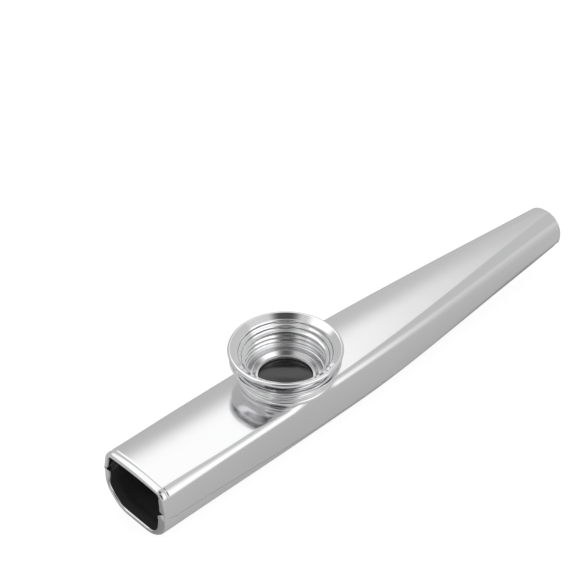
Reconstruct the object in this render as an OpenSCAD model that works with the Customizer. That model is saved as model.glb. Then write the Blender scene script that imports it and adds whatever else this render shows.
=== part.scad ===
// Metal kazoo: a tube of two pressed shells, with a screw-capped turret on its deck that holds a membrane.
// +X runs from the wide mouth to the narrow end, +Z is up, and the base rests on z = 0 at mid length.
// All sizes are in millimetres. Depths are measured down from the flat deck.

/* [Body] */
// Length of the body from the mouth to the narrow end
body_len = 120; // [110:1:140]
// Height of the body from its flat base to its deck
body_h = 13.4; // [12.6:0.2:15]
// Width across the mouth
mouth_w = 17.0; // [16:0.2:19]
// Width at the waist, where the taper steepens
waist_w = 15.9; // [15.4:0.1:16.6]
// Distance of the waist from the mouth
waist_x = 60; // [54:1:66]
// Outside diameter of the round narrow end
end_d = 9.7; // [9:0.1:11]
// Thickness of the sheet of both shells
sheet_t = 0.5; // [0.4:0.05:0.55]

/* [Body corners] */
// Radius of the deck's long edges along the body
deck_edge_r = 1.4; // [1.1:0.1:1.5]
// Radius of the deck's edges at the mouth
mouth_deck_r = 1.9; // [1.6:0.1:2.4]
// Length over which the deck's edges tighten behind the mouth
mouth_blend_len = 20; // [14:1:26]
// Radius of the base's long edges at the waist
base_edge_r = 5.3; // [4.8:0.1:5.8]
// Radius of the base's long edges at the mouth
mouth_base_r = 5.8; // [5.2:0.1:6.3]
// How far the side walls bulge beyond the deck's edges
side_bulge = 0.3; // [0.1:0.05:0.5]
// Distance from the mouth at which the deck starts to round off towards the narrow end
round_start_x = 45; // [42:1:54]
// Distance from the mouth at which the base starts to rise towards the narrow end
rise_start_x = 55; // [50:1:62]

/* [Mouth and seam] */
// Length of the lip that is folded inwards at the mouth
hem_len = 2.0; // [1.4:0.1:2.6]
// How far the folded lip stands in from the sheet
hem_t = 0.7; // [0.4:0.05:0.8]
// Radius of the lip's outer edge
lip_r = 0.7; // [0.4:0.05:0.9]
// Depth of the upper shell's side walls behind the mouth
seam_mouth_depth = 7.1; // [6.8:0.05:7.6]
// Depth of the upper shell's side walls along the body
seam_depth = 9.4; // [9:0.1:9.8]
// Distance from the mouth at which the side walls reach their full depth
seam_run = 48; // [40:1:54]
// Depth of the upper shell's side walls at the narrow end
seam_end_depth = 6.4; // [6:0.1:6.8]
// Length of the rounded front corner of the upper shell's side walls
front_corner_len = 3.3; // [2.6:0.1:3.8]
// Height of the rounded front corner of the upper shell's side walls
front_corner_h = 1.9; // [1.4:0.1:2.2]
// Gap between the lapped walls of the two shells
lap_gap = 0.04; // [0.03:0.01:0.08]
// Length over which the lower shell's walls step out to the body's outline below the seam
step_out_len = 3; // [2.4:0.1:3.2]
// How far below the deck's rounded edge the lower shell's walls stop
wall_top_drop = 0.6; // [0.4:0.1:1]
// Length of the sloping front corner of the lower shell's walls
wall_slope_len = 5; // [4:0.5:7]

/* [Turret neck] */
// Distance of the turret's axis from the mouth
turret_x = 39; // [34:1:46]
// Thickness of the sheet of the neck and the cap
turret_t = 0.35; // [0.3:0.01:0.38]
// Radius of the recess in the neck's floor that holds the membrane
seat_r = 6.45; // [6.4:0.05:6.5]
// Width of the ledge round the neck's air hole that carries the membrane
seat_ledge_w = 1.05; // [0.95:0.05:1.8]
// Depth of the recess below the deck's surface
seat_drop = 0.75; // [0.7:0.01:0.8]
// How far the recess widens between the deck's surface and the neck's floor
seat_chamfer = 0.3; // [0.2:0.05:0.35]
// Height of the neck's rim over the deck
neck_h = 4.3; // [4.2:0.1:4.6]
// Outer radius of the neck's flared rim
neck_rim_r = 11.05; // [10.8:0.05:11.2]
// Radius of the rounded foot of the neck
foot_r = 0.6; // [0.5:0.05:0.7]
// How far the neck's foot stands out from its threaded wall
foot_proud = 0.5; // [0.3:0.05:0.6]
// Width of the lip swaged out under the deck
swage_w = 0.25; // [0.15:0.05:0.3]
// Gap between the neck's spigot and the deck's hole
spigot_gap = 0.04; // [0.02:0.01:0.06]

/* [Thread] */
// Smallest outer radius of the cap's threaded wall
thread_r = 8.3; // [8.2:0.05:8.4]
// Depth of the rolled thread
thread_h = 0.4; // [0.3:0.02:0.44]
// Rise of the thread in one turn
thread_pitch = 1.1; // [1:0.05:1.2]
// Radial gap between the cap's thread and the neck's
thread_gap = 0.2; // [0.18:0.01:0.24]
// Turns of thread rolled into the cap
cap_turns = 2.9; // [2.6:0.05:3]

/* [Membrane] */
// Gap between the membrane's ring and the wall of its recess
ring_gap = 0.1; // [0.05:0.01:0.2]
// Width of the membrane's ring
ring_w = 0.75; // [0.6:0.05:0.85]
// Thickness of the membrane's ring
ring_t = 0.25; // [0.2:0.01:0.35]
// Thickness of the film
film_t = 0.05; // [0.04:0.01:0.08]
// Gap between the clamped membrane and what lies above and below it
seat_gap = 0.04; // [0.03:0.01:0.06]

/* [Screw cap] */
// Height of the cap's rim over the deck
cap_h = 7.06; // [6.8:0.02:7.6]
// Outer radius of the cap's rolled rim
cap_rim_r = 11.38; // [11.2:0.02:11.8]
// Radius of the bead rolled round the cap's rim
bead_r = 0.45; // [0.38:0.01:0.5]
// How far the cap's nose reaches in past the hole of the membrane's ring
nose_lip = 0.15; // [0.1:0.05:0.8]
// Gap between the cap's nose, which presses on the membrane, and the recess round it
nose_gap = 0.08; // [0.06:0.01:0.1]
// Outer radius of the flat part of the cap's floor
cap_floor_r = 7.5; // [7.2:0.05:7.6]
// Height of the rounded corner between the cap's floor and its threaded wall
cap_corner_h = 0.7; // [0.6:0.05:0.9]
// Inner radius of the cap's funnel where it leaves the thread
funnel_base_r = 8.35; // [8.2:0.05:8.5]
// Inner radius of the cap's funnel under the sloping rim
funnel_top_r = 9.6; // [9.4:0.1:9.8]
// Depth of the sloping rim, from the top of the bead to the funnel
rim_slope_h = 0.75; // [0.65:0.05:0.9]
// Height of the soft rings pressed into the funnel
ring_wave_h = 0.1; // [0.05:0.01:0.14]

/* [Hidden] */

// Facets of round things, steps of the thread round the axis, and its steps in one turn's rise
round_fn = 96;
turn_steps = 40;
pitch_steps = 6;

// Shares of the stated lengths at which the shape of the body is sampled
lip_shares = [0, 0.3, 1];
front_step_shares = [0.25, 0.5, 1];
body_steps = 20;

// Steps across the body's section: flat deck, deck edge, side wall, base edge, and shares of the step below
// the seam
deck_steps = 2;
edge_steps = 4;
wall_steps = 4;
base_steps = 4;
step_out_shares = [0.35, 0.7];

// Run of the step between the hem and the sheet, and the least lap of the walls at the notch
hem_run = 0.5;
notch_overlap = 0.4;

// Half the width of the flats that are left on the deck and the base at the narrow end
end_flat = 0.25;

// Rise of the base's curve and of the deck's rounding, as powers of the distance along the body
rise_power = 1.6;
round_power = 1.3;

// Heights over the deck of the pieces stacked in the turret: the cap's nose reaches down into the recess
film_z = seat_gap - seat_drop;
ring_z = film_z + film_t;
nose_z = ring_z + ring_t + seat_gap;
cap_floor_z = turret_t + seat_gap;
swage_z = -sheet_t - spigot_gap;

// Radii that follow from the recess: the neck's air hole, the membrane's ring and the hole in the cap's floor
neck_hole_r = seat_r - seat_ledge_w;
ring_r = seat_r - ring_gap;
ring_hole_r = ring_r - ring_w;
cap_hole_r = ring_hole_r - nose_lip;

// Threaded walls: the neck's inner wall is one gap and one thread depth outside the cap's smallest radius
neck_thread_r = thread_r + thread_h + thread_gap;
neck_wall_r = neck_thread_r + turret_t;
foot_mid_r = neck_wall_r + foot_proud - foot_r;
spigot_r = seat_r + turret_t;
cap_corner_w = thread_r - cap_floor_r;
cap_thread_z = cap_floor_z + cap_corner_h;
neck_thread_z = 2 * foot_r;
cap_thread_top = cap_thread_z + cap_turns * thread_pitch;
neck_thread_top = neck_h - 2 * turret_t;
thread_fade = thread_pitch / 4;

// Mixes two values, eases a share and blends along a cubic with given slopes
function mix(a, b, t) = a + (b - a) * t;
function clamp01(t) = min(max(t, 0), 1);
function ease(t) = clamp01(t) * clamp01(t) * (3 - 2 * clamp01(t));
function cubic(a, b, slope_a, slope_b, run, t) =
    a * (1 + 2 * t) * pow(1 - t, 2) + b * (3 - 2 * t) * t * t
    + run * (slope_a * t * pow(1 - t, 2) - slope_b * (1 - t) * t * t);

// Share of the way from a place along the body to its narrow end
function past(x, start) = clamp01((x - start) / (body_len - start));

// Half the width of the body: two tapers that blend at the waist
front_slope = (waist_w - mouth_w) / 2 / waist_x;
back_slope = (end_d - waist_w) / 2 / (body_len - waist_x);
waist_slope = (front_slope + back_slope) / 2;
function half_w(x) = x < waist_x
    ? cubic(mouth_w / 2, waist_w / 2, front_slope, waist_slope, waist_x, x / waist_x)
    : cubic(waist_w / 2, end_d / 2, waist_slope, back_slope, body_len - waist_x, past(x, waist_x));

// Depth of the base, radii of the deck's and base's edges, and bulge of the sides
function depth(x) = body_h - (body_h - end_d) * pow(past(x, rise_start_x), rise_power);
function deck_r(x) = mix(mouth_deck_r, deck_edge_r, ease(x / mouth_blend_len))
    + (end_d / 2 - end_flat - deck_edge_r) * pow(past(x, round_start_x), round_power);
function base_r(x) = x < waist_x
    ? mix(mouth_base_r, base_edge_r, ease(x / waist_x))
    : mix(base_edge_r, half_w(x) - end_flat, ease(past(x, waist_x)));
function bulge(x) = side_bulge * (1 - ease(past(x, waist_x)));

// Lengths along the section: flat deck, deck edge, side wall and base edge, each from the deck's middle
function deck_end(x) = half_w(x) - deck_r(x);
function edge_end(x) = deck_end(x) + deck_r(x) * PI / 2;
function wall_end(x) = edge_end(x) + depth(x) - deck_r(x) - base_r(x);
function corner_end(x) = wall_end(x) + base_r(x) * PI / 2;
function base_end(x) = corner_end(x) + half_w(x) - base_r(x);

// A point of the section before the sides bulge: s along it from the deck's middle, d in from the surface
function flat_point(x, s, d) =
    s < deck_end(x) ? [s, -d]
    : s < edge_end(x) ? let(a = (s - deck_end(x)) / deck_r(x) * 180 / PI)
        [deck_end(x) + (deck_r(x) - d) * sin(a), (deck_r(x) - d) * cos(a) - deck_r(x)]
    : s < wall_end(x) ? [half_w(x) - d, edge_end(x) - s - deck_r(x)]
    : s < corner_end(x) ? let(a = (s - wall_end(x)) / base_r(x) * 180 / PI)
        [half_w(x) - base_r(x) + (base_r(x) - d) * cos(a), base_r(x) - depth(x) - (base_r(x) - d) * sin(a)]
    : [max(base_end(x) - s, 0), d - depth(x)];

// Bulge of the sides at a height, most at this share of the depth
bulge_centre_share = 0.45;
function bulge_at(x, z) = bulge(x) * max(0, 1 - pow(z / depth(x) / bulge_centre_share + 1, 2));

// The point in the part's frame, on the side given by the sign of s
function body_point(x, s, d) = let(p = flat_point(x, abs(s), d))
    [x - body_len / 2, sign(s) * p[0] * (1 + bulge_at(x, p[1]) / half_w(x)), body_h + p[1]];

// Distance along the section of a depth on the side wall or the base edge
function at_depth(x, z) = z < depth(x) - base_r(x)
    ? edge_end(x) + z - deck_r(x)
    : wall_end(x) + base_r(x) * asin(min((z - depth(x) + base_r(x)) / base_r(x), 1)) * PI / 180;

// Depth of the seam, which rounds up at the mouth into a notch
function seam_line(x) = x < waist_x
    ? mix(seam_mouth_depth, seam_depth, ease(x / seam_run))
    : mix(seam_depth, seam_end_depth, ease(past(x, waist_x)));
function corner_rise(x) = x >= front_corner_len ? 0
    : front_corner_h * (1 - sqrt(1 - pow(1 - x / front_corner_len, 2)));
function seam_s(x) = at_depth(x, seam_line(x) - corner_rise(x));

// Inward offsets: the rounded lip outside, and the sheet with its folded hem inside
function lip_in(x) = x >= lip_r ? 0 : lip_r - sqrt(pow(lip_r, 2) - pow(lip_r - x, 2));
function wall_in(x) = sheet_t + hem_t * (1 - clamp01((x - hem_len) / hem_run));

// Stations along the body: lip, hem, front corner, then even steps
front_len = hem_len + hem_run;
stations = concat(
    [for (f = lip_shares) f * lip_r],
    [(lip_r + hem_len) / 2, hem_len, front_len],
    [for (f = front_step_shares) front_len + f * (wall_slope_len - front_len)],
    [for (i = [1 : body_steps]) mix(wall_slope_len, body_len, i / body_steps)]);

// Faces of a thick strip: rows of outer points, then inner ones, closed round all four edges
function strip_faces(rows, cols) = let(n = rows * cols)
    concat(
        [for (i = [0 : rows - 2], j = [0 : cols - 2]) let(a = i * cols + j) each
            [[a, a + 1, a + cols], [a + 1, a + cols + 1, a + cols]]],
        [for (i = [0 : rows - 2], j = [0 : cols - 2]) let(a = n + i * cols + j) each
            [[a, a + cols, a + 1], [a + 1, a + cols, a + cols + 1]]],
        [for (j = [0 : cols - 2]) each [[j, n + j, j + 1], [j + 1, n + j, n + j + 1]]],
        [for (j = [0 : cols - 2]) let(a = n - cols + j) each
            [[a, a + 1, n + a], [a + 1, n + a + 1, n + a]]],
        [for (i = [0 : rows - 2]) let(a = i * cols) each
            [[a, a + cols, n + a], [a + cols, n + a + cols, n + a]]],
        [for (i = [0 : rows - 2]) let(a = i * cols + cols - 1) each
            [[a, n + a, a + cols], [a + cols, n + a, n + a + cols]]]);

// A half section mirrored about the middle of the body, where its first point lies
function both_sides(half) = concat([for (i = [len(half) - 1 : -1 : 1]) -half[i]], half);

// Places across the upper shell, from the deck's middle to the seam
function upper_places(x) = both_sides(concat(
    [for (i = [0 : deck_steps]) deck_end(x) * i / deck_steps],
    [for (i = [1 : edge_steps]) mix(deck_end(x), edge_end(x), i / edge_steps)],
    [for (i = [1 : wall_steps]) mix(edge_end(x), seam_s(x), i / wall_steps)]));

// Places across the lower shell: down the lapped wall, out over the step, round the base's edge, across the
// base and up again
function wall_top(x) =
    mix(seam_s(x) - notch_overlap, edge_end(x) + wall_top_drop, ease(x / wall_slope_len));
function edge_start(x) = max(wall_end(x), seam_s(x) + step_out_len);
function lower_half(x) = concat(
    [for (i = [0 : wall_steps]) mix(wall_top(x), seam_s(x), i / wall_steps)],
    [for (f = step_out_shares) seam_s(x) + f * step_out_len],
    [for (i = [0 : base_steps]) mix(edge_start(x), corner_end(x), i / base_steps)]);
function lower_places(x) = let(h = lower_half(x))
    concat(h, [for (i = [len(h) - 1 : -1 : 0]) -h[i]]);

// How far the lower shell lies inside the body's outline: one wall in above the seam, none below the step
function tuck(x, s) = mix(wall_in(x) + lap_gap, 0, ease((abs(s) - seam_s(x)) / step_out_len));

module shell_strip(places, set_in) {
    rows = len(stations);
    cols = len(places(stations[0]));
    outer = [for (x = stations, s = places(x)) body_point(x, s, max(set_in(x, s), lip_in(x)))];
    inner = [for (x = stations, s = places(x)) body_point(x, s, set_in(x, s) + wall_in(x))];
    polyhedron(points = concat(outer, inner), faces = strip_faces(rows, cols), convexity = 8);
}

module at_turret() {
    translate([turret_x - body_len / 2, 0, body_h]) children();
}

module upper_shell() {
    color("gainsboro")
    difference() {
        shell_strip(function (x) upper_places(x), function (x, s) 0);
        at_turret() cylinder(r = spigot_r + spigot_gap, h = 4 * sheet_t, center = true, $fn = round_fn);
    }
}

module lower_shell() {
    color("silver")
    shell_strip(function (x) lower_places(x), function (x, s) tuck(x, s));
}

// Faces of a closed ring: each loop of points is one step round the axis
function ring_faces(turns, n) = [
    for (i = [0 : turns - 1], j = [0 : n - 1])
        let(k = (j + 1) % n, next = (i + 1) % turns, a = i * n, b = next * n)
        each [[a + j, a + k, b + j], [a + k, b + k, b + j]]];

module turned(loop) {
    n = len(loop(0));
    points = [for (i = [0 : turn_steps - 1]) let(a = 360 * i / turn_steps)
        for (p = loop(a)) [p[0] * cos(a), p[0] * sin(a), p[1]]];
    polyhedron(points = points, faces = ring_faces(turn_steps, n), convexity = 10);
}

// Right-hand rolled thread: 1 on its crest, 0 in its root, faded out at both ends of the threaded wall
function crest(z, a) = (1 + cos(360 * z / thread_pitch - a)) / 2;
function fade(z, low, high) = ease((z - low) / thread_fade) * ease((high - z) / thread_fade);
function neck_inner_r(z, a) = neck_thread_r
    - thread_h * (1 - crest(z, a)) * fade(z, neck_thread_z, neck_thread_top);
function cap_outer_r(z, a) = thread_r + thread_h * crest(z, a) * fade(z, cap_thread_z, cap_thread_top);

// Points of an arc about a centre, from one angle to another, and of one that is wider or higher than round
function oval(r, z, width, height, from, to, steps) =
    [for (i = [0 : steps]) let(a = mix(from, to, i / steps)) [r + width * cos(a), z + height * sin(a)]];
function arc(r, z, radius, from, to, steps) = oval(r, z, radius, radius, from, to, steps);

// Heights from low to high in even steps of the thread, and the same downwards
function thread_steps(low, high) = ceil((high - low) / thread_pitch * pitch_steps);
function heights(low, high) = let(n = thread_steps(low, high)) [for (i = [0 : n]) mix(low, high, i / n)];
function downwards(list) = [for (i = [len(list) - 1 : -1 : 0]) list[i]];

// Middle of the rim's rounded edge, and the height of the flare at a share of the way out to it
rim_mid_r = neck_rim_r - turret_t / 2;
function flare_z(f) = mix(neck_thread_top, neck_h, sqrt(f));

// Section of the neck: recess, floor, threaded wall and rim, then down outside to the swage
corner_steps = 3;
foot_end_angle = 60;
flare_shares = [0.3, 0.7];
function neck_loop(a) = concat(
    [[neck_hole_r, -seat_drop - turret_t], [neck_hole_r, -seat_drop], [seat_r, -seat_drop], [seat_r, 0]],
    [[seat_r + seat_chamfer, turret_t]],
    arc(foot_mid_r, foot_r, foot_r - turret_t, -90, foot_end_angle, corner_steps),
    [for (z = heights(neck_thread_z, neck_thread_top)) [neck_inner_r(z, a), z]],
    [for (f = flare_shares) [mix(neck_thread_r, rim_mid_r, f), flare_z(f)]],
    [[rim_mid_r, neck_h], [neck_rim_r, neck_h - turret_t / 2], [rim_mid_r, neck_h - turret_t]],
    [for (f = downwards(flare_shares)) [mix(neck_wall_r, rim_mid_r, f), flare_z(f) - turret_t]],
    [for (z = downwards(heights(neck_thread_z, neck_thread_top - turret_t / 2)))
        [neck_inner_r(z, a) + turret_t, z]],
    arc(foot_mid_r, foot_r, foot_r, foot_end_angle, -90, 2 * corner_steps),
    [[spigot_r, 0], [spigot_r, swage_z], [spigot_r + swage_w, swage_z]],
    [[spigot_r + swage_w, swage_z - turret_t / 2], [spigot_r, -seat_drop], [seat_r, -seat_drop - turret_t]]);

// Underside of the cap's nose, which keeps an even gap to the recess, and its sheet measured level
nose_slope = seat_chamfer / turret_t;
nose_wall = turret_t * sqrt(1 + pow(nose_slope, 2));
function nose_r(z) = seat_r - nose_gap + nose_slope * z;

// Section of the cap: out under its nose and floor, up the thread and funnel, round the bead and down inside
bead_steps = 7;
funnel_rings = 2;
funnel_steps = 6;
funnel_z = cap_thread_top + turret_t / 2;
slope_z = cap_h - rim_slope_h;
function funnel_r(t) = mix(funnel_base_r, funnel_top_r, t) + ring_wave_h * sin(360 * funnel_rings * t);
funnel_shares = [for (i = [0 : funnel_steps]) i / funnel_steps];
function cap_loop(a) = concat(
    [[cap_hole_r, nose_z]],
    [for (z = [nose_z, cap_floor_z]) [nose_r(z), z]],
    [[cap_floor_r, cap_floor_z]],
    oval(cap_floor_r, cap_thread_z, cap_corner_w, cap_corner_h, -60, -20, corner_steps - 1),
    [for (z = heights(cap_thread_z, cap_thread_top)) [cap_outer_r(z, a), z]],
    [for (f = funnel_shares) [funnel_r(f) + turret_t, mix(funnel_z, slope_z, f)]],
    arc(cap_rim_r - bead_r, cap_h - bead_r, bead_r, -110, 130, bead_steps),
    [for (f = downwards(funnel_shares)) [funnel_r(f), mix(funnel_z, slope_z, f)]],
    [for (z = downwards(heights(cap_thread_z, cap_thread_top))) [cap_outer_r(z, a) - turret_t, z]],
    oval(cap_floor_r, cap_thread_z, cap_corner_w - turret_t, cap_corner_h - turret_t,
        -20, -90, corner_steps - 1),
    [for (z = [cap_floor_z, nose_z]) [nose_r(z + turret_t) - nose_wall, z + turret_t]],
    [[cap_hole_r, nose_z + turret_t]]);

module turret_neck() {
    color("lightgray")
    at_turret() turned(function (a) downwards(neck_loop(a)));
}

module membrane_ring() {
    color("white")
    at_turret() translate([0, 0, ring_z]) difference() {
        cylinder(r = ring_r, h = ring_t, $fn = round_fn);
        translate([0, 0, -ring_t]) cylinder(r = ring_hole_r, h = 3 * ring_t, $fn = round_fn);
    }
}

module membrane_film() {
    color("dimgray")
    at_turret() translate([0, 0, film_z]) cylinder(r = ring_r, h = film_t, $fn = round_fn);
}

module screw_cap() {
    color("whitesmoke")
    at_turret() turned(function (a) cap_loop(a));
}

upper_shell();
lower_shell();
turret_neck();
membrane_ring();
membrane_film();
screw_cap();
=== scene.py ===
"""A bright metal kazoo: two pressed shells, and a threaded turret whose flared cap clamps a thin membrane."""

import math

import bpy
import numpy as np
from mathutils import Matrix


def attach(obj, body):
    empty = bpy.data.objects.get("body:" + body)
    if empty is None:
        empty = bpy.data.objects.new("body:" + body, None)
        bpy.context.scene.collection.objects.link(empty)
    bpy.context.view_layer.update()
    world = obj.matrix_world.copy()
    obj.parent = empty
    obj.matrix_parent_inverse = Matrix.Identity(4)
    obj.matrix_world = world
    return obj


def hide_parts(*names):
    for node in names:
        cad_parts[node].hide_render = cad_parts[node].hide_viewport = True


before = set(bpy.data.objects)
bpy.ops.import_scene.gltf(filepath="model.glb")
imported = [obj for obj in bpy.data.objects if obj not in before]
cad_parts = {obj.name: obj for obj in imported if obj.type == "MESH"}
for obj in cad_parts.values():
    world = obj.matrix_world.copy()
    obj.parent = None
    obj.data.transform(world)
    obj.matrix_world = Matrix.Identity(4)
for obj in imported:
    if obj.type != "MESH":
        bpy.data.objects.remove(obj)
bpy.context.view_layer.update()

# The camera looks down on the deck from the mouth end, past the side with the seam.
# A long lens keeps the body's taper as mild as it is on the object.
# Here and below, lengths are in millimetres and angles in degrees.
MM = 0.001
SENSOR_W = 36.0
LENS_LEN = 100.0
CAMERA_X = -185.56
CAMERA_Y = -171.74
CAMERA_Z = 221.07
CAMERA_DOWN = 38.033
CAMERA_TURN = -43.892
camera_data = bpy.data.cameras.new("camera")
camera_data.sensor_width = SENSOR_W
camera_data.lens = LENS_LEN
camera = bpy.data.objects.new("camera", camera_data)
camera.location = (CAMERA_X * MM, CAMERA_Y * MM, CAMERA_Z * MM)
camera.rotation_euler = (math.radians(90 - CAMERA_DOWN), 0, math.radians(CAMERA_TURN))
bpy.context.scene.collection.objects.link(camera)
bpy.context.scene.camera = camera
bpy.context.scene.view_settings.view_transform = "Standard"


# The studio is a white table under long soft lights that run beside the body. Round the body's length the
# dome goes over from a white panel beyond it to a grey ceiling and a brighter panel on the near side. Beyond
# the body a grey wall stands below the first panel. A dark cloth hangs behind the camera, below a dark lamp.
def linear(hex_colour):
    """sRGB hex to linear RGBA: c/12.92 for dark parts, ((c + 0.055)/1.055) to the power 2.4 for the rest."""
    parts = np.array([int(hex_colour[i:i + 2], 16) / 255 for i in (1, 3, 5)])
    low = parts / 12.92
    high = ((parts + 0.055) / 1.055) ** 2.4
    return (*np.where(parts <= 0.04045, low, high).tolist(), 1.0)


def add_node(tree, kind, inputs=None, **settings):
    """Adds one node, sets its properties, and sets each named or numbered input or links it to a socket."""
    node = tree.nodes.new(kind)
    for name, value in settings.items():
        setattr(node, name, value)
    for key, value in (inputs or {}).items():
        if isinstance(value, bpy.types.NodeSocket):
            tree.links.new(value, node.inputs[key])
        else:
            node.inputs[key].default_value = value
    return node


def new_material(name):
    """A node material with nothing in it yet, and its node tree."""
    material = bpy.data.materials.new(name)
    material.use_nodes = True
    material.node_tree.nodes.clear()
    return material, material.node_tree


# Angle up from the far horizon round the body's length, in degrees, and the dome's brightness there
PANELS = ((0, 1.2), (66, 1.2), (80, 0.66), (106, 0.66), (126, 1.0), (142, 1.32), (158, 1.27),
          (171, 0.86), (180, 0.6))
# The far wall's brightness, and the sines of elevation between which it gives way to the panel
WALL_LIGHT = 0.56
WALL_TOP = 0.572
PANEL_FOOT = 0.69
# How much higher the wall would have to be for each step towards the near side, where there is none
NEAR_LIFT = 2.0
# Towards the narrow end the wall is paler and lower. The shares are those of straight along the body.
PALE_START = 0.46
PALE_END = 0.57
PALE_LIGHT = 0.61
WALL_SINKS = 0.03
# Further that way the panels fall off
END_FALL_START = 0.51
END_FALL_END = 0.7
END_LIGHT = 0.54
LEAST_LIGHT = 0.61
# The dark cloth: its azimuth and elevation, and the angles over which its edge fades
CLOTH_AZIMUTH = 226
CLOTH_ELEVATION = 34
CLOTH_INNER = 13
CLOTH_OUTER = 33
CLOTH_DARK = 0.95
# The dark lamp housing overhead, on the cloth's side: its elevation, and the angles over which its edge fades
HOUSING_ELEVATION = 79
HOUSING_INNER = 4
HOUSING_OUTER = 19
HOUSING_DARK = 0.88


def dome(tree):
    """Brightness by direction: the panels' ramp times the fall towards the narrow end, but never under the
    least light, mixed with the far wall, times what the dark cloth and the lamp housing leave."""
    direction = add_node(tree, "ShaderNodeTexCoord").outputs["Generated"]
    parts = add_node(tree, "ShaderNodeSeparateXYZ", {0: direction})

    def maths(kind, a, b):
        """Two values or sockets put together by one kind of sum."""
        return add_node(tree, "ShaderNodeMath", {0: a, 1: b}, operation=kind).outputs["Value"]

    def eased(value, low, high, to_low, to_high):
        """One range eased to another, and held at its ends."""
        return add_node(tree, "ShaderNodeMapRange", {"Value": value, "From Min": low, "From Max": high,
                                                     "To Min": to_low, "To Max": to_high},
                        interpolation_type="SMOOTHSTEP").outputs["Result"]

    half_turn = maths("DIVIDE", maths("ARCTAN2", parts.outputs["Z"], parts.outputs["Y"]), math.pi)
    ramp = add_node(tree, "ShaderNodeValToRGB", {"Fac": half_turn})
    ramp.color_ramp.interpolation = "EASE"
    for number, (angle, light) in enumerate(PANELS):
        stop = ramp.color_ramp.elements[number] if number < 2 else ramp.color_ramp.elements.new(1)
        stop.position = angle / 180
        stop.color = (light, light, light, 1)
    nearness = maths("MAXIMUM", maths("MULTIPLY", parts.outputs["Y"], -NEAR_LIFT), 0.0)
    sinking = eased(parts.outputs["X"], PALE_START, PALE_END, 0.0, WALL_SINKS)
    height = maths("ADD", maths("ADD", parts.outputs["Z"], nearness), sinking)
    over_wall = eased(height, WALL_TOP, PANEL_FOOT, 0.0, 1.0)
    wall = eased(parts.outputs["X"], PALE_START, PALE_END, WALL_LIGHT, PALE_LIGHT)
    fall = eased(parts.outputs["X"], END_FALL_START, END_FALL_END, 1.0, END_LIGHT)
    panels = maths("MAXIMUM", maths("MULTIPLY", ramp.outputs["Color"], fall), LEAST_LIGHT)
    below = maths("MULTIPLY", maths("SUBTRACT", 1.0, over_wall), wall)
    lights = maths("ADD", maths("MULTIPLY", panels, over_wall), below)

    def spot(azimuth, elevation, inner, outer, dark):
        """The share of the light that a round dark thing takes away, fading to none at its edge."""
        a, e = math.radians(azimuth), math.radians(elevation)
        way = (math.cos(a) * math.cos(e), math.sin(a) * math.cos(e), math.sin(e))
        towards = add_node(tree, "ShaderNodeVectorMath", {0: direction, 1: way}, operation="DOT_PRODUCT")
        outer_cos, inner_cos = math.cos(math.radians(outer)), math.cos(math.radians(inner))
        return eased(towards.outputs["Value"], outer_cos, inner_cos, 0.0, dark)

    cloth = spot(CLOTH_AZIMUTH, CLOTH_ELEVATION, CLOTH_INNER, CLOTH_OUTER, CLOTH_DARK)
    housing = spot(CLOTH_AZIMUTH, HOUSING_ELEVATION, HOUSING_INNER, HOUSING_OUTER, HOUSING_DARK)
    left = maths("MULTIPLY", maths("SUBTRACT", 1.0, cloth), maths("SUBTRACT", 1.0, housing))
    return maths("MULTIPLY", lights, left)


WHITE = linear("#FFFFFF")


def studio():
    """The world: plain white where the camera sees it, and the dome of lights for everything else."""
    world = bpy.data.worlds.new("white_dome")
    world.use_nodes = True
    tree = world.node_tree
    tree.nodes.clear()
    path = add_node(tree, "ShaderNodeLightPath").outputs["Is Camera Ray"]
    seen = add_node(tree, "ShaderNodeBackground", {"Color": WHITE, "Strength": 1.0}).outputs[0]
    lit = add_node(tree, "ShaderNodeBackground", {"Color": WHITE, "Strength": dome(tree)}).outputs[0]
    shown = add_node(tree, "ShaderNodeMixShader", {0: path, 1: lit, 2: seen}).outputs[0]
    add_node(tree, "ShaderNodeOutputWorld", {"Surface": shown})
    return world


bpy.context.scene.world = studio()


# The table is matt glass lit softly from below, and its glow carries a painted shadow: it is dimmer under the
# body, which lies along X, for all but camera rays. It stays white where the camera sees it in full light and
# keeps a faint shadow.
FLOOR_SIZE = 4.0
TABLE_GLOW = 0.31
# The painted shadow: the glow under the body, and the half widths of its dim band and of where the full glow
# begins
SHADOW_GLOW = 0.12
SHADOW_HALF_W = 4.5
LIT_HALF_W = 9.5
SEEN_GLOW = 0.84


def table_with_painted_shadow():
    """Matt glass lit from below: a pale matt face, and a glow that is dimmer under the body as a painted
    shadow.
    The camera sees it brighter than the metal does, and without the painted shadow."""
    material, tree = new_material("matt_white_table")
    matt = add_node(tree, "ShaderNodeBsdfDiffuse", {"Color": linear("#A0A0A0")}).outputs[0]
    path = add_node(tree, "ShaderNodeLightPath").outputs["Is Camera Ray"]
    place = add_node(tree, "ShaderNodeTexCoord").outputs["Object"]
    across = add_node(tree, "ShaderNodeSeparateXYZ", {0: place}).outputs["Y"]
    away = add_node(tree, "ShaderNodeMath", {0: across}, operation="ABSOLUTE").outputs["Value"]
    # Painted shadow: the glow eases down to its dimmest in a band under the body
    shadowed_glow = add_node(tree, "ShaderNodeMapRange", {
        "Value": away, "From Min": SHADOW_HALF_W * MM, "From Max": LIT_HALF_W * MM, "To Min": SHADOW_GLOW,
        "To Max": TABLE_GLOW}, interpolation_type="SMOOTHSTEP").outputs["Result"]
    more = add_node(tree, "ShaderNodeMath", {0: SEEN_GLOW, 1: shadowed_glow},
                    operation="SUBTRACT").outputs["Value"]
    strength = add_node(tree, "ShaderNodeMath", {0: path, 1: more, 2: shadowed_glow},
                        operation="MULTIPLY_ADD").outputs["Value"]
    glow = add_node(tree, "ShaderNodeEmission", {"Color": WHITE, "Strength": strength}).outputs[0]
    shown = add_node(tree, "ShaderNodeAddShader", {0: matt, 1: glow}).outputs[0]
    add_node(tree, "ShaderNodeOutputMaterial", {"Surface": shown})
    return material


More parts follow.
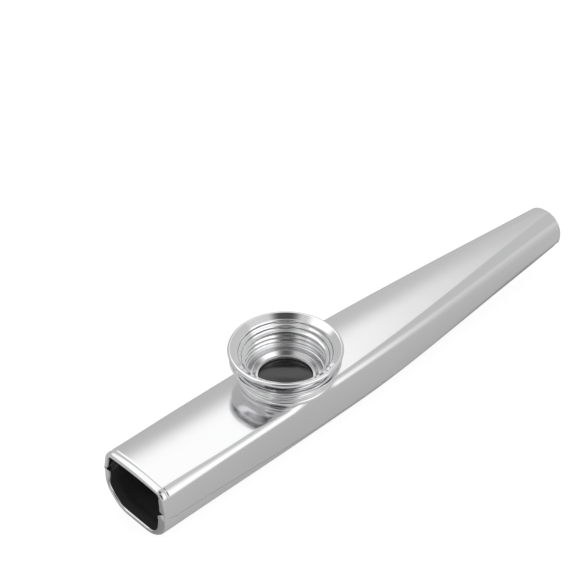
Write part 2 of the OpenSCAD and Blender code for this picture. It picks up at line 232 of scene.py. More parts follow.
floor_mesh = bpy.data.meshes.new("floor")
half = FLOOR_SIZE / 2
floor_corners = [(-half, -half, 0), (half, -half, 0), (half, half, 0), (-half, half, 0)]
floor_mesh.from_pydata(floor_corners, [], [(0, 1, 2, 3)])
floor_mesh.materials.append(table_with_painted_shadow())
floor = bpy.data.objects.new("floor", floor_mesh)
bpy.context.scene.collection.objects.link(floor)


# Upper shell: an inverted U pressed from bright aluminium sheet half a millimetre thick, with a flat deck,
# tight deck edges, slightly bulging walls and a lip folded in at the mouth. A round hole takes the turret.

# The outline: length, depth, widths at the mouth and the waist, and diameter at the narrow end
BODY_LEN = 120.0
BODY_H = 13.4
MOUTH_W = 17.0
WAIST_W = 15.9
WAIST_X = 60.0
END_D = 9.7
# The sheet's thickness, and the gaps between the shells and round the turret's spigot
SHEET_T = 0.5
LAP_GAP = 0.04
SPIGOT_GAP = 0.04
# The deck's and the base's edges, which are rounder at the mouth and grow until the narrow end is round
DECK_EDGE_R = 1.4
MOUTH_DECK_R = 1.9
MOUTH_BLEND_LEN = 20.0
BASE_EDGE_R = 5.3
MOUTH_BASE_R = 5.8
ROUND_START_X = 45.0
ROUND_POWER = 1.3
END_FLAT = 0.25
RISE_START_X = 55.0
RISE_POWER = 1.6
# The walls' bulge, and the deck's crown with the flat pressed round the turret
SIDE_BULGE = 0.3
BULGE_CENTRE_SHARE = 0.45
DECK_CROWN = 0.6
CROWN_FADE = 6.0
SEAT_FLAT_R = 7.4
SEAT_FLAT_RUN = 2.5
# The folded lip inside the mouth, with its thickness over the deck and down the near wall
HEM_LEN = 2.0
HEM_T = 0.7
NEAR_HEM_T = 1.3
HEM_RUN = 1.5
HEM_END = 0.6
# The lip's outside: it turns down over the deck, and a crease lies behind it that is deepest at the edges
LIP_LEN = 1.1
LIP_DROP = 0.55
LIP_INNER_R = 0.5
CREASE_X = 1.45
CREASE_W = 0.22
CREASE_DEPTH = 0.07
CORNER_CREASE = 0.16
CORNER_CREASE_RUN = 0.9
SIDE_LIP_R = 0.2
LIP_FADE = 2.5
BRIGHT_LEN = 0.45
END_ROUND_R = 0.2
# The seam: its depths below the deck from the mouth to the narrow end, and its corner at the mouth
SEAM_MOUTH_DEPTH = 7.1
SEAM_DEPTH = 9.4
SEAM_RUN = 48.0
SEAM_END_DEPTH = 6.4
FRONT_CORNER_LEN = 3.3
FRONT_CORNER_H = 1.9
# The turret's place, its spigot and the cutter of the hole for it
TURRET_X = 39.0
SPIGOT_R = 6.8
CUTTER_LEN = 2.0
CUTTER_SIDES = 96
# How finely the sheet is divided: round its ends, over the hem, along the body and round the section
CLOSE_STEPS = 8
HEM_STEPS = 40
BODY_STEPS = 149
SECTION_STEPS = 24
BASE_STEPS = 8


def mix(a, b, t):
    """The value a share t of the way from a to b."""
    return a + (b - a) * t


def ease(t):
    """3t² - 2t³ between 0 and 1, flat at both ends."""
    t = np.clip(t, 0, 1)
    return t * t * (3 - 2 * t)


def past(x, start):
    """Share of the way from start to the narrow end."""
    return np.clip((x - start) / (BODY_LEN - start), 0, 1)


def cubic(a, b, slope_a, slope_b, run, t):
    """Hermite cubic from a to b over run, with the given slopes at its ends."""
    ends = a * (1 + 2 * t) * (1 - t) ** 2 + b * (3 - 2 * t) * t * t
    return ends + run * (slope_a * t * (1 - t) ** 2 - slope_b * (1 - t) * t * t)


FRONT_SLOPE = (WAIST_W - MOUTH_W) / 2 / WAIST_X
BACK_SLOPE = (END_D - WAIST_W) / 2 / (BODY_LEN - WAIST_X)


def half_w(x):
    """Half the width: a cubic from the mouth to the waist and another from there to the narrow end."""
    slope = (FRONT_SLOPE + BACK_SLOPE) / 2
    near = cubic(MOUTH_W / 2, WAIST_W / 2, FRONT_SLOPE, slope, WAIST_X, np.clip(x / WAIST_X, 0, 1))
    far = cubic(WAIST_W / 2, END_D / 2, slope, BACK_SLOPE, BODY_LEN - WAIST_X, past(x, WAIST_X))
    return np.where(x < WAIST_X, near, far)


def depth(x):
    """Depth of the base below the deck: level, then rising by a power of the way to the narrow end."""
    return BODY_H - (BODY_H - END_D) * past(x, RISE_START_X) ** RISE_POWER


def deck_r(x):
    """Radius of the deck's edge: eased tighter behind the mouth, then growing by a power of the way along."""
    tight = mix(MOUTH_DECK_R, DECK_EDGE_R, ease(x / MOUTH_BLEND_LEN))
    return tight + (END_D / 2 - END_FLAT - DECK_EDGE_R) * past(x, ROUND_START_X) ** ROUND_POWER


def base_r(x):
    """Radius of the base's edge: eased tighter as far as the waist, then wider until the end is round."""
    near = mix(MOUTH_BASE_R, BASE_EDGE_R, ease(x / WAIST_X))
    far = mix(BASE_EDGE_R, half_w(x) - END_FLAT, ease(past(x, WAIST_X)))
    return np.where(x < WAIST_X, near, far)


def section_ends(x):
    """Lengths along the section, from the deck's middle, where deck, edge, wall, base edge and base end."""
    deck = half_w(x) - deck_r(x)
    edge = deck + deck_r(x) * np.pi / 2
    wall = edge + depth(x) - deck_r(x) - base_r(x)
    corner = wall + base_r(x) * np.pi / 2
    return deck, edge, wall, corner, corner + half_w(x) - base_r(x)


def body_point(x, s, d):
    """The body's surface at x from the mouth and length s along the section, set in by d: a flat deck with a
    slight crown, a quarter circle, a wall, a quarter circle and a flat base. The walls bulge as a parabola,
    and the crown is pressed flat round the turret."""
    deck, edge, wall, corner, base = section_ends(x)
    r_top, r_low, w, h = deck_r(x), base_r(x), half_w(x), depth(x)
    side = np.sign(s)
    s = np.abs(s)
    a = (s - deck) / r_top
    b = (s - wall) / r_low
    parts = [s < deck, s < edge, s < wall, s < corner]
    y = np.select(parts, [s, deck + (r_top - d) * np.sin(a), w - d, w - r_low + (r_low - d) * np.cos(b)],
                  np.maximum(base - s, 0))
    z = np.select(parts, [-d, (r_top - d) * np.cos(a) - r_top, edge - s - r_top,
                          r_low - h - (r_low - d) * np.sin(b)], d - h)
    bulge = SIDE_BULGE * (1 - ease(past(x, WAIST_X)))
    y = y * (1 + bulge * np.maximum(0, 1 - (z / h / BULGE_CENTRE_SHARE + 1) ** 2) / w)
    seat = ease((np.hypot(x - TURRET_X, y) - SEAT_FLAT_R) / SEAT_FLAT_RUN)
    crown = DECK_CROWN * np.clip(s / w, 0, 1) ** 2 * (1 - past(x, WAIST_X) ** 2)
    crown = crown * np.clip(1 + z / CROWN_FADE, 0, 1) * seat
    return np.stack(np.broadcast_arrays(x - BODY_LEN / 2, side * y, BODY_H + z - crown), axis=-1) * MM


def at_depth(x, z):
    """Length along the section at a depth on the wall or on the base's quarter circle."""
    _, edge, wall, _, _ = section_ends(x)
    r = base_r(x)
    on_arc = wall + r * np.arcsin(np.clip((z - depth(x) + r) / r, 0, 1))
    return np.where(z < depth(x) - r, edge + z - deck_r(x), on_arc)


def rounding(away, run, drop):
    """A quarter ellipse: the whole drop at an edge, and none from the run away from it."""
    return drop * (1 - np.sqrt(1 - np.clip(1 - away / run, 0, 1) ** 2))


def seam_s(x):
    """Length along the section where the upper wall ends: eased depths, and an elliptic front corner."""
    near = mix(SEAM_MOUTH_DEPTH, SEAM_DEPTH, ease(x / SEAM_RUN))
    far = mix(SEAM_DEPTH, SEAM_END_DEPTH, ease(past(x, WAIST_X)))
    return at_depth(x, np.where(x < WAIST_X, near, far) - rounding(x, FRONT_CORNER_LEN, FRONT_CORNER_H))


def lip_in(x, s):
    """How far the outside turns in at both ends. Over the deck and its edges the lip turns down further, with
    a bell-shaped crease behind it, deepest round the edges. It eases into a small round down the walls."""
    edge = section_ends(x)[1]
    deeper = CORNER_CREASE * np.exp(-((np.abs(s) - edge + CORNER_CREASE_RUN) / CORNER_CREASE_RUN) ** 2)
    crease = (CREASE_DEPTH + deeper) * np.exp(-((x - CREASE_X) / CREASE_W) ** 2)
    down_wall = ease((np.abs(s) - edge) / LIP_FADE)
    lip = mix(rounding(x, LIP_LEN, LIP_DROP) + crease, rounding(x, SIDE_LIP_R, SIDE_LIP_R), down_wall)
    return lip + rounding(BODY_LEN - x, END_ROUND_R, END_ROUND_R)


def sheet_in(x, hem_t):
    """Inside of the sheet: sheet and folded lip together at the mouth, easing back to the sheet alone."""
    hem = hem_t * (1 - ease((x - HEM_LEN) / HEM_RUN))
    rounds = rounding(x, LIP_INNER_R, LIP_INNER_R) + rounding(BODY_LEN - x, END_ROUND_R, END_ROUND_R)
    return SHEET_T + hem - rounds


def upper_hem(x, s):
    """Thickness of the upper shell's folded lip: it eases out down the far wall, and keeps thick down the
    near one until just above the seam."""
    deck, edge = section_ends(x)[:2]
    far = HEM_T * (1 - ease((np.abs(s) - edge) / (seam_s(x) - edge)))
    near = mix(HEM_T, NEAR_HEM_T, ease((np.abs(s) - deck) / (edge - deck)))
    near = near * ease((seam_s(x) - np.abs(s)) / HEM_END)
    return np.where(s < 0, near, far)


def stations():
    """Places along the body: close over both rounded ends, and even over the hem and along the body."""
    quarter = np.linspace(0, np.pi / 2, CLOSE_STEPS + 1)
    turn = LIP_INNER_R * (1 - np.cos(quarter))
    hem = np.linspace(LIP_INNER_R, FRONT_CORNER_LEN, HEM_STEPS + 1)[1:]
    along = np.linspace(FRONT_CORNER_LEN, BODY_LEN - END_ROUND_R, BODY_STEPS + 1)[1:]
    return np.concatenate([turn, hem, along, BODY_LEN - END_ROUND_R * (1 - np.sin(quarter[1:]))])


def add_piece(name, points, faces):
    """An object at the origin with a smooth mesh of the given points and faces."""
    mesh = bpy.data.meshes.new(name)
    mesh.from_pydata(points.tolist(), [], faces.tolist())
    mesh.polygons.foreach_set("use_smooth", np.ones(len(faces), dtype=bool))
    mesh.update()
    piece = bpy.data.objects.new(name, mesh)
    bpy.context.scene.collection.objects.link(piece)
    return piece


def sheet_piece(name, outer, inner):
    """A closed thick sheet from two grids of points (rows, columns, 3): both faces and the four edges
    between them, with the inside and the long edges behind the lip in the second material, which is painted
    shade."""
    rows, cols = outer.shape[:2]
    index = np.arange(2 * rows * cols).reshape(2, rows, cols)

    def quads(grid):
        """The faces of a grid of point numbers."""
        return np.stack([grid[:-1, :-1], grid[:-1, 1:], grid[1:, 1:], grid[1:, :-1]], axis=-1).reshape(-1, 4)

    edges = [index[:, 0, :][::-1], index[:, -1, :], index[:, :, 0], index[:, :, -1][::-1]]
    faces = [quads(index[0]), quads(index[1])[:, ::-1]] + [quads(edge) for edge in edges]
    faces = np.concatenate(faces)
    piece = add_piece(name, np.concatenate([outer.reshape(-1, 3), inner.reshape(-1, 3)]), faces)
    count = (rows - 1) * (cols - 1)
    # Painted shade: the inside behind the lip's rolled front and the two long edges get the dark second
    # material
    shaded_behind_lip = outer[:-1, :1, 0] > (BRIGHT_LEN - BODY_LEN / 2) * MM
    inside = np.zeros(len(faces), dtype=np.int32)
    inside[count:2 * count] = np.repeat(shaded_behind_lip, cols - 1, axis=1).ravel()
    inside[2 * count + 2 * (cols - 1):] = np.tile(shaded_behind_lip.ravel(), 2)
    piece.data.polygons.foreach_set("material_index", inside)
    return piece


# Buffing marks, which are drawn out along the body, and press waves
MARK_W = 0.25
MARK_DEPTH = 0.02
MARK_SQUEEZE = 0.15
WAVE_LEN = 9.0
WAVE_H = 0.4


def buffed_aluminium():
    """Aluminium sheet, pressed and buffed: a clear, slightly soft mirror. Fine buffing marks along the body
    roughen it unevenly, and very shallow waves left by the press bend its reflections."""
    material, tree = new_material("buffed_aluminium_sheet")
    place = add_node(tree, "ShaderNodeTexCoord").outputs["Object"]
    drawn_out = add_node(tree, "ShaderNodeMapping", {
        "Vector": place, "Scale": (MARK_SQUEEZE, 1.0, 1.0)}).outputs[0]
    marks = add_node(tree, "ShaderNodeTexNoise", {
        "Vector": drawn_out, "Scale": 1 / (MARK_W * MM), "Detail": 4.0}).outputs["Fac"]
    rough = add_node(tree, "ShaderNodeMapRange", {
        "Value": marks, "To Min": 0.091, "To Max": 0.169}).outputs[0]
    waves = add_node(tree, "ShaderNodeTexNoise", {
        "Vector": place, "Scale": 1 / (WAVE_LEN * MM), "Detail": 1.0}).outputs["Fac"]
    waved = add_node(tree, "ShaderNodeBump", {
        "Height": waves, "Strength": 0.04, "Distance": WAVE_H * MM}).outputs[0]
    normal = add_node(tree, "ShaderNodeBump", {
        "Height": marks, "Strength": 0.03, "Distance": MARK_DEPTH * MM, "Normal": waved}).outputs[0]
    metal = add_node(tree, "ShaderNodeBsdfPrincipled", {
        "Base Color": linear("#E9E9EA"), "Metallic": 1.0, "Roughness": rough, "Normal": normal}).outputs[0]
    add_node(tree, "ShaderNodeOutputMaterial", {"Surface": metal})
    return material


# Size of the blotches in the painted shade inside the sheet
BLOTCH_LEN = 3.0


def shaded_inside_aluminium():
    """Painted shade for the inside of the sheet, left as rolled: a near-black, dull colour, uneven in soft
    blotches, stands in for the shade in the hollow body. The sheet's long edges get it too.
    """
    material, tree = new_material("aluminium_inside_painted_shade")
    place = add_node(tree, "ShaderNodeTexCoord").outputs["Object"]
    blotches = add_node(tree, "ShaderNodeTexNoise", {
        "Vector": place, "Scale": 1 / (BLOTCH_LEN * MM), "Detail": 5.0}).outputs["Fac"]
    # Painted shade: a near-black colour stands in for the shade inside the hollow body
    colour = add_node(tree, "ShaderNodeMix", {
        "Factor": blotches, "A": linear("#3E3E40"), "B": linear("#58585B")}, data_type="RGBA")
    metal = add_node(tree, "ShaderNodeBsdfPrincipled", {
        "Base Color": colour.outputs["Result"], "Metallic": 0.3, "Roughness": 0.45}).outputs[0]
    add_node(tree, "ShaderNodeOutputMaterial", {"Surface": metal})
    return material


body_metal = buffed_aluminium()
painted_shade_metal = shaded_inside_aluminium()

x = stations()[:, None]
deck_end, edge_end, _, corner_end, base_end = section_ends(x)
share = np.linspace(0, 1, SECTION_STEPS + 1)
flat = deck_end * share
edge = mix(deck_end, edge_end, share[1:])
wall = mix(edge_end, seam_s(x), share[1:])
right = np.concatenate([flat, edge, wall], axis=1)
places = np.concatenate([-right[:, :0:-1], right], axis=1)
outer = body_point(x, places, lip_in(x, places))
inner = body_point(x, places, sheet_in(x, upper_hem(x, places)))
upper_shell = sheet_piece("upper_shell_sheet", outer, inner)

bpy.ops.mesh.primitive_cylinder_add(
    vertices=CUTTER_SIDES, radius=(SPIGOT_R + SPIGOT_GAP) * MM, depth=CUTTER_LEN * MM,
    location=((TURRET_X - BODY_LEN / 2) * MM, 0, BODY_H * MM))
cutter = bpy.context.object
hole = upper_shell.modifiers.new("turret_hole", "BOOLEAN")
hole.operation = "DIFFERENCE"
hole.solver = "EXACT"
hole.object = cutter
bpy.context.view_layer.objects.active = upper_shell
bpy.ops.object.modifier_apply(modifier=hole.name)
bpy.data.objects.remove(cutter)
upper_shell.data.materials.clear()
upper_shell.data.materials.append(body_metal)
upper_shell.data.materials.append(painted_shade_metal)
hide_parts("upper_shell")
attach(upper_shell, "shells")


# Lower shell: a U trough of the same sheet. Its walls stand inside the upper walls, and below the seam
# they step out to the body's outline. Its lip is folded thin, and thicker down the near wall.

# The folded lip: its thickness under the base and on each wall, and how they go over into each other
BASE_HEM_T = 0.2
FAR_HEM_T = 0.1
THICK_HEM_T = 1.8
THICK_START = -0.4
THICK_RUN = 1.9
BASE_START_SHARE = 0.1
BASE_STEEPNESS = 1.3
# The wall inside the upper shell: how far it stands up at the mouth, and behind it below the deck's edge
NOTCH_OVERLAP = 0.4
WALL_TOP_DROP = 0.6
WALL_SLOPE_LEN = 5.0
STEP_OUT_LEN = 3.0


def tuck(x, s):
    """How far the lower shell lies inside the outline: one wall in above the seam, eased to none below it."""
    upper_wall = sheet_in(x, upper_hem(x, s))
    return mix(upper_wall + LAP_GAP, 0, ease((np.abs(s) - seam_s(x)) / STEP_OUT_LEN))


def lower_hem(x, s):
    """Thickness of the lower shell's folded lip: thin on the far wall and thickening below the seam on the
    near one, and both easing round the base's edge to that of the base."""
    _, _, wall, corner, _ = section_ends(x)
    near = mix(FAR_HEM_T, THICK_HEM_T, ease((np.abs(s) - seam_s(x) - THICK_START) / THICK_RUN))
    round_edge = (np.abs(s) - wall) / (corner - wall)
    to_base = ease((round_edge - BASE_START_SHARE) * BASE_STEEPNESS)
    return mix(np.where(s < 0, near, FAR_HEM_T), BASE_HEM_T, to_base)


wall_top = mix(seam_s(x) - NOTCH_OVERLAP, edge_end + WALL_TOP_DROP, ease(x / WALL_SLOPE_LEN))
lap = mix(wall_top, seam_s(x), share)
step = seam_s(x) + STEP_OUT_LEN * share[1:]
curve = mix(step[:, -1:], corner_end, share[1:])
base = mix(corner_end, base_end, np.linspace(0, 1, BASE_STEPS + 1)[1:])
down = np.concatenate([lap, step, curve, base], axis=1)
places = np.concatenate([down, -down[:, -2::-1]], axis=1)
set_in = tuck(x, places)
outer = body_point(x, places, set_in + lip_in(x, places))
inner = body_point(x, places, set_in + sheet_in(x, lower_hem(x, places)))
lower_shell = sheet_piece("lower_shell_sheet", outer, inner)
lower_shell.data.materials.append(body_metal)
lower_shell.data.materials.append(painted_shade_metal)
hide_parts("lower_shell")
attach(lower_shell, "shells")


# Turret neck: a cup drawn from thinner sheet, with a recess for the membrane, a rounded foot on the deck,
# a rolled thread and a flared rim. It is polished brighter than the body.

# The sheet, then the hole, the membrane's recess, the rim and the foot, in radii and heights above the deck
TURRET_T = 0.35
NECK_HOLE_R = 5.4
SEAT_R = 6.45
SEAT_DROP = 0.75
SEAT_CHAMFER = 0.3
NECK_H = 4.3
NECK_RIM_R = 11.05
FOOT_R = 0.6
FOOT_PROUD = 0.5
FOOT_TURN = 60
RIM_TURN = 60
SWAGE_W = 0.25
# The thread: the cap's radius in its root, its depth and pitch, and the gap from cap to neck
THREAD_R = 8.3
THREAD_H = 0.4
THREAD_PITCH = 1.1
THREAD_GAP = 0.2
THREAD_FADE_SHARE = 0.25
EDGE_R = 0.08
# Heights between which the polish begins, and the rings that it leaves
UNREACHED_H = 0.9
POLISHED_H = 2.0
RING_LINE_W = 0.12
RING_LINE_DEPTH = 0.02
# How finely a profile is divided, and how much of a side a corner's round may take
PROFILE_STEP = 0.11
TURN_STEPS = 240
CORNER_STEPS = 4
CORNER_SHARE = 0.45
FLARE_START_SHARE = 0.15
FLARE_STEPS = 11
FOOT_INNER_POINTS = 8
FOOT_OUTER_POINTS = 16
RIM_POINTS = 7

NECK_THREAD_R = THREAD_R + THREAD_H + THREAD_GAP
NECK_WALL_R = NECK_THREAD_R + TURRET_T
FOOT_MID_R = NECK_WALL_R + FOOT_PROUD - FOOT_R
NECK_THREAD_Z = 2 * FOOT_R
NECK_THREAD_TOP = NECK_H - 2 * TURRET_T
RIM_MID_R = NECK_RIM_R - TURRET_T / 2
SWAGE_Z = -SHEET_T - SPIGOT_GAP


def rounded(corners, radius):
    """A closed outline through the corners, each rounded by a parabola that touches both sides where a circle
    of the radius would, with points no further apart than the profile's step."""
    points = np.array(corners, dtype=float)
    to_last = np.roll(points, 1, axis=0) - points
    to_next = np.roll(points, -1, axis=0) - points
    len_last = np.linalg.norm(to_last, axis=1)
    len_next = np.linalg.norm(to_next, axis=1)
    cosine = np.clip((to_last * to_next).sum(axis=1) / len_last / len_next, -1, 1)
    half_angle = np.arccos(cosine) / 2
    furthest = CORNER_SHARE * np.minimum(len_last, len_next)
    reach = radius / np.maximum(np.tan(half_angle), radius / furthest)
    start = points + to_last / len_last[:, None] * reach[:, None]
    end = points + to_next / len_next[:, None] * reach[:, None]
    t = np.linspace(0, 1, CORNER_STEPS + 1)[None, :, None]
    arcs = (1 - t) ** 2 * start[:, None] + 2 * t * (1 - t) * points[:, None] + t ** 2 * end[:, None]
    outline = arcs.reshape(-1, 2)
    after = np.roll(outline, -1, axis=0)
    counts = np.ceil(np.linalg.norm(after - outline, axis=1) / PROFILE_STEP).astype(int)
    pieces = [mix(a, b, np.arange(n)[:, None] / n) for a, b, n in zip(outline, after, counts) if n]
    return np.concatenate(pieces)


def arc(r, z, radius, start, end, count):
    """A number of points of a circle about (r, z) from one angle to another."""
    a = np.radians(np.linspace(start, end, count))
    return np.stack([r + radius * np.cos(a), z + radius * np.sin(a)], axis=1)


def crest(z, a):
    """1 on the crest of the right-hand thread and 0 in its root: a cosine of height less turn."""
    return (1 + np.cos(2 * np.pi * z / THREAD_PITCH - a)) / 2


def fade(z, low, high):
    """Eases the thread in and out over a share of its pitch."""
    run = THREAD_FADE_SHARE * THREAD_PITCH
    return ease((z - low) / run) * ease((high - z) / run)


def turned_piece(name, profile, radius_at):
    """A closed profile carried round the turret's axis, its radius changed by height and turn."""
    a = np.linspace(0, 2 * np.pi, TURN_STEPS, endpoint=False)[:, None]
    r, z = profile[None, :, 0], profile[None, :, 1]
    r = radius_at(r, z, a) + 0 * a
    x = r * np.cos(a) + TURRET_X - BODY_LEN / 2
    points = np.stack([x, r * np.sin(a), z + BODY_H + 0 * a], axis=-1) * MM
    rows, cols = points.shape[:2]
    index = np.arange(rows * cols).reshape(rows, cols)
    index = np.concatenate([index, index[:1]], axis=0)
    index = np.concatenate([index, index[:, :1]], axis=1)
    faces = np.stack([index[:-1, :-1], index[1:, :-1], index[1:, 1:], index[:-1, 1:]], axis=-1).reshape(-1, 4)
    return add_piece(name, points.reshape(-1, 3), faces)


def lathe_polished_aluminium():
    """Aluminium spun and polished on a lathe: a hard mirror with faint rings left by the polishing, and
    softer low in the cups, where the wheel doesn't reach."""
    material, tree = new_material("lathe_polished_aluminium")
    place = add_node(tree, "ShaderNodeTexCoord").outputs["Object"]
    centred = add_node(tree, "ShaderNodeMapping", {
        "Vector": place, "Location": ((BODY_LEN / 2 - TURRET_X) * MM, 0, 0)}).outputs[0]
    parts = add_node(tree, "ShaderNodeSeparateXYZ", {0: centred})
    height = parts.outputs["Z"]
    flat = add_node(tree, "ShaderNodeCombineXYZ", {
        "X": parts.outputs["X"], "Y": parts.outputs["Y"]}).outputs[0]
    radius = add_node(tree, "ShaderNodeVectorMath", {0: flat}, operation="LENGTH").outputs["Value"]
    ring = add_node(tree, "ShaderNodeCombineXYZ", {"X": radius, "Z": height}).outputs[0]
    lines = add_node(tree, "ShaderNodeTexNoise", {
        "Vector": ring, "Scale": 1 / (RING_LINE_W * MM), "Detail": 3.0}).outputs["Fac"]
    polish = add_node(tree, "ShaderNodeMapRange", {"Value": lines, "To Min": 0.04, "To Max": 0.1}).outputs[0]
    unreached = add_node(tree, "ShaderNodeMapRange", {
        "Value": height, "From Min": (BODY_H + UNREACHED_H) * MM, "From Max": (BODY_H + POLISHED_H) * MM,
        "To Min": 0.18, "To Max": 0.0}).outputs[0]
    rough = add_node(tree, "ShaderNodeMath", {0: polish, 1: unreached}, operation="ADD").outputs["Value"]
    normal = add_node(tree, "ShaderNodeBump", {
        "Height": lines, "Strength": 0.05, "Distance": RING_LINE_DEPTH * MM}).outputs[0]
    metal = add_node(tree, "ShaderNodeBsdfPrincipled", {
        "Base Color": linear("#F0F0F1"), "Metallic": 1.0, "Roughness": rough, "Normal": normal}).outputs[0]
    add_node(tree, "ShaderNodeOutputMaterial", {"Surface": metal})
    return material


turret_metal = lathe_polished_aluminium()

flare = np.linspace(FLARE_START_SHARE, 1, FLARE_STEPS + 1)
flare_z = mix(NECK_THREAD_TOP, NECK_H, flare)
inside_flare = np.stack([mix(NECK_THREAD_R, RIM_MID_R, flare ** 2), flare_z], axis=1)
outside_flare = np.stack([mix(NECK_WALL_R, RIM_MID_R, flare ** 2), flare_z - TURRET_T], axis=1)[::-1]
neck_profile = rounded(np.concatenate([
    [[NECK_HOLE_R, -SEAT_DROP - TURRET_T], [NECK_HOLE_R, -SEAT_DROP], [SEAT_R, -SEAT_DROP], [SEAT_R, 0]],
    [[SEAT_R + SEAT_CHAMFER, TURRET_T]],
    arc(FOOT_MID_R, FOOT_R, FOOT_R - TURRET_T, -90, FOOT_TURN, FOOT_INNER_POINTS),
    [[NECK_THREAD_R, NECK_THREAD_Z], [NECK_THREAD_R, NECK_THREAD_TOP]],
    inside_flare,
    arc(RIM_MID_R, NECK_H - TURRET_T / 2, TURRET_T / 2, RIM_TURN, -RIM_TURN, RIM_POINTS),
    outside_flare,
    [[NECK_WALL_R, NECK_THREAD_TOP - TURRET_T / 2], [NECK_WALL_R, NECK_THREAD_Z]],
    arc(FOOT_MID_R, FOOT_R, FOOT_R, FOOT_TURN, -90, FOOT_OUTER_POINTS),
    [[SPIGOT_R, 0], [SPIGOT_R, SWAGE_Z], [SPIGOT_R + SWAGE_W, SWAGE_Z]],
    [[SPIGOT_R + SWAGE_W, SWAGE_Z - TURRET_T / 2], [SPIGOT_R, -SEAT_DROP], [SEAT_R, -SEAT_DROP - TURRET_T]],
]), EDGE_R)[::-1]


def neck_radius(r, z, a):
    """The neck's wall drawn in between the crests of its thread."""
    on_wall = (r > NECK_THREAD_R - EDGE_R) & (r < NECK_WALL_R + EDGE_R)
    return r - np.where(on_wall, THREAD_H * (1 - crest(z, a)) * fade(z, NECK_THREAD_Z, NECK_THREAD_TOP), 0)


turret_neck = turned_piece("turret_neck_cup", neck_profile, neck_radius)
turret_neck.data.materials.append(turret_metal)
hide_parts("turret_neck")
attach(turret_neck, "shells")


# Screw cap: a flared cup of the same sheet. Its nose presses on the membrane's ring, its wall carries the
# rolled thread, its funnel has soft pressed rings, and its rim slopes up to a rolled bead.

# Gap under the membrane and under the nose, and the thickness of ring and film
SEAT_GAP = 0.04
RING_T = 0.25
FILM_T = 0.05
# The cap's turns of thread, its height above the deck, its rim, its floor's corner and its funnel
CAP_TURNS = 2.9
CAP_H = 7.06
CAP_RIM_R = 11.38
BEAD_R = 0.45
BEAD_START = -110
BEAD_END = 130
CAP_HOLE_R = 5.45
NOSE_GAP = 0.08
CAP_CORNER_H = 0.7
CAP_CORNER_W = 0.8
FUNNEL_BASE_R = 8.35
FUNNEL_TOP_R = 9.6
RIM_SLOPE_H = 0.75
RING_WAVE_H = 0.1
FUNNEL_RINGS = 2
CORNER_POINTS = 9
BEAD_POINTS = 20

FILM_Z = SEAT_GAP - SEAT_DROP
RING_Z = FILM_Z + FILM_T
NOSE_Z = RING_Z + RING_T + SEAT_GAP
CAP_FLOOR_Z = TURRET_T + SEAT_GAP
CAP_THREAD_Z = CAP_FLOOR_Z + CAP_CORNER_H
CAP_THREAD_TOP = CAP_THREAD_Z + CAP_TURNS * THREAD_PITCH
FUNNEL_Z = CAP_THREAD_TOP + TURRET_T / 2
SLOPE_Z = CAP_H - RIM_SLOPE_H
NOSE_SLOPE = SEAT_CHAMFER / TURRET_T
NOSE_WALL = TURRET_T * math.sqrt(1 + NOSE_SLOPE ** 2)


def nose_r(z):
    """Underside of the nose: a cone with an even gap to the neck's recess."""
    return SEAT_R - NOSE_GAP + NOSE_SLOPE * z


def corner_arc(width, height, start, end):
    """A quarter of an ellipse between the cap's floor and its wall."""
    a = np.radians(np.linspace(start, end, CORNER_POINTS))
    return np.stack([THREAD_R - CAP_CORNER_W + width * np.cos(a), CAP_THREAD_Z + height * np.sin(a)], axis=1)


cap_profile = rounded(np.concatenate([
    [[CAP_HOLE_R, NOSE_Z], [nose_r(NOSE_Z), NOSE_Z], [nose_r(CAP_FLOOR_Z), CAP_FLOOR_Z]],
    corner_arc(CAP_CORNER_W, CAP_CORNER_H, -90, 0),
    [[THREAD_R, CAP_THREAD_TOP], [FUNNEL_BASE_R + TURRET_T, FUNNEL_Z], [FUNNEL_TOP_R + TURRET_T, SLOPE_Z]],
    arc(CAP_RIM_R - BEAD_R, CAP_H - BEAD_R, BEAD_R, BEAD_START, BEAD_END, BEAD_POINTS),
    [[FUNNEL_TOP_R, SLOPE_Z], [FUNNEL_BASE_R, FUNNEL_Z], [THREAD_R - TURRET_T, CAP_THREAD_TOP]],
    corner_arc(CAP_CORNER_W - TURRET_T, CAP_CORNER_H - TURRET_T, 0, -90),
    [[nose_r(z + TURRET_T) - NOSE_WALL, z + TURRET_T] for z in (CAP_FLOOR_Z, NOSE_Z)],
    [[CAP_HOLE_R, NOSE_Z + TURRET_T]],
]), EDGE_R)


def cap_radius(r, z, a):
    """The cap's wall swelled out on the crests of its thread, and rings waved into the funnel."""
    on_wall = (r > THREAD_R - TURRET_T - EDGE_R) & (r < THREAD_R + EDGE_R)
    thread = np.where(on_wall, THREAD_H * crest(z, a) * fade(z, CAP_THREAD_Z, CAP_THREAD_TOP), 0)
    t = np.clip((z - FUNNEL_Z) / (SLOPE_Z - FUNNEL_Z), 0, 1)
    return r + thread + RING_WAVE_H * np.sin(2 * np.pi * FUNNEL_RINGS * t)


screw_cap = turned_piece("screw_cap_cup", cap_profile, cap_radius)
screw_cap.data.materials.append(turret_metal)
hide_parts("screw_cap")
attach(screw_cap, "cap")


# Membrane ring: a thin moulded washer of white plastic that keeps the film stretched. It lies out of sight
# under the cap's nose.
RING_GAP = 0.1
RING_R = SEAT_R - RING_GAP
RING_HOLE_R = 5.6
RING_EDGE_R = 0.06
GRAIN_LEN = 0.1
GRAIN_H = 0.01
ring_profile = rounded([[RING_HOLE_R, RING_Z], [RING_R, RING_Z], [RING_R, RING_Z + RING_T],
                        [RING_HOLE_R, RING_Z + RING_T]], RING_EDGE_R)
membrane_ring = turned_piece("membrane_ring_washer", ring_profile, lambda r, z, a: r)


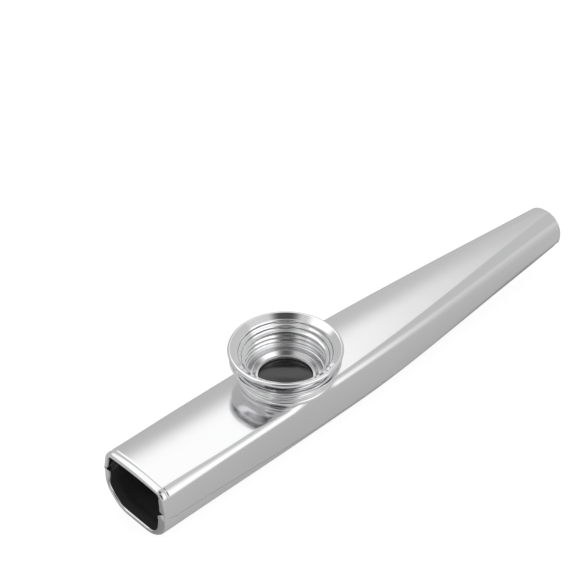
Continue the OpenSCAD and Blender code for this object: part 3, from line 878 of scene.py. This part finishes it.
def moulded_polypropylene():
    """White polypropylene, moulded: matt, with a fine grain from the mould."""
    material, tree = new_material("moulded_white_polypropylene")
    place = add_node(tree, "ShaderNodeTexCoord").outputs["Object"]
    grain = add_node(tree, "ShaderNodeTexNoise", {
        "Vector": place, "Scale": 1 / (GRAIN_LEN * MM)}).outputs["Fac"]
    rough = add_node(tree, "ShaderNodeMapRange", {"Value": grain, "To Min": 0.45, "To Max": 0.6}).outputs[0]
    normal = add_node(tree, "ShaderNodeBump", {
        "Height": grain, "Strength": 0.2, "Distance": GRAIN_H * MM}).outputs[0]
    plastic = add_node(tree, "ShaderNodeBsdfPrincipled", {
        "Base Color": linear("#E6E5DF"), "Roughness": rough, "Normal": normal}).outputs[0]
    add_node(tree, "ShaderNodeOutputMaterial", {"Surface": plastic})
    return material


membrane_ring.data.materials.append(moulded_polypropylene())
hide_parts("membrane_ring")
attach(membrane_ring, "membrane")


# Membrane film: a disc of thin waxed film that buzzes. It sags a little and has soft wrinkles, and looks
# dark because the hollow body lies behind it.

# The sag in its middle, and its wrinkles: a sine's height, its radians to the hole's edge and its shift
FILM_SAG = 0.16
WRINKLE_H = 0.05
WRINKLE_RADIANS = 4.0
WRINKLE_SHIFT = 1.0
HELD_EDGE = 0.1
FILM_MIDDLE_R = 0.02
FILM_EDGE_R = 0.01
CLOUD_LEN = 4.0
CLOUD_H = 0.3
film_profile = rounded([[FILM_MIDDLE_R, FILM_Z], [RING_R, FILM_Z], [RING_R, FILM_Z + FILM_T],
                        [FILM_MIDDLE_R, FILM_Z + FILM_T]], FILM_EDGE_R)
membrane_film = turned_piece("membrane_film_disc", film_profile, lambda r, z, a: r)
points = np.empty(3 * len(membrane_film.data.vertices))
membrane_film.data.vertices.foreach_get("co", points)
points = points.reshape(-1, 3)
across = (points[:, :2] / MM - [TURRET_X - BODY_LEN / 2, 0]) / (CAP_HOLE_R - HELD_EDGE)
free = np.clip(1 - (across ** 2).sum(axis=1), 0, 1)
sag = (FILM_SAG + WRINKLE_H * np.sin(WRINKLE_RADIANS * across.sum(axis=1) + WRINKLE_SHIFT)) * free
points[:, 2] -= sag * MM
membrane_film.data.vertices.foreach_set("co", points.ravel())


def waxed_film():
    """Thin waxed film over a dark hollow: dark and glossy, with soft clouds where the wax lies thicker."""
    material, tree = new_material("waxed_film")
    place = add_node(tree, "ShaderNodeTexCoord").outputs["Object"]
    clouds = add_node(tree, "ShaderNodeTexNoise", {
        "Vector": place, "Scale": 1 / (CLOUD_LEN * MM), "Detail": 2.0}).outputs["Fac"]
    colour = add_node(tree, "ShaderNodeMix", {
        "Factor": clouds, "A": linear("#161618"), "B": linear("#29292C")}, data_type="RGBA")
    rough = add_node(tree, "ShaderNodeMapRange", {"Value": clouds, "To Min": 0.1, "To Max": 0.18}).outputs[0]
    normal = add_node(tree, "ShaderNodeBump", {
        "Height": clouds, "Strength": 0.15, "Distance": CLOUD_H * MM}).outputs[0]
    film = add_node(tree, "ShaderNodeBsdfPrincipled", {
        "Base Color": colour.outputs["Result"], "Roughness": rough, "IOR": 1.5,
        "Coat Weight": 0.4, "Coat Roughness": 0.05, "Normal": normal}).outputs[0]
    add_node(tree, "ShaderNodeOutputMaterial", {"Surface": film})
    return material


membrane_film.data.materials.append(waxed_film())
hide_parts("membrane_film")
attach(membrane_film, "membrane")
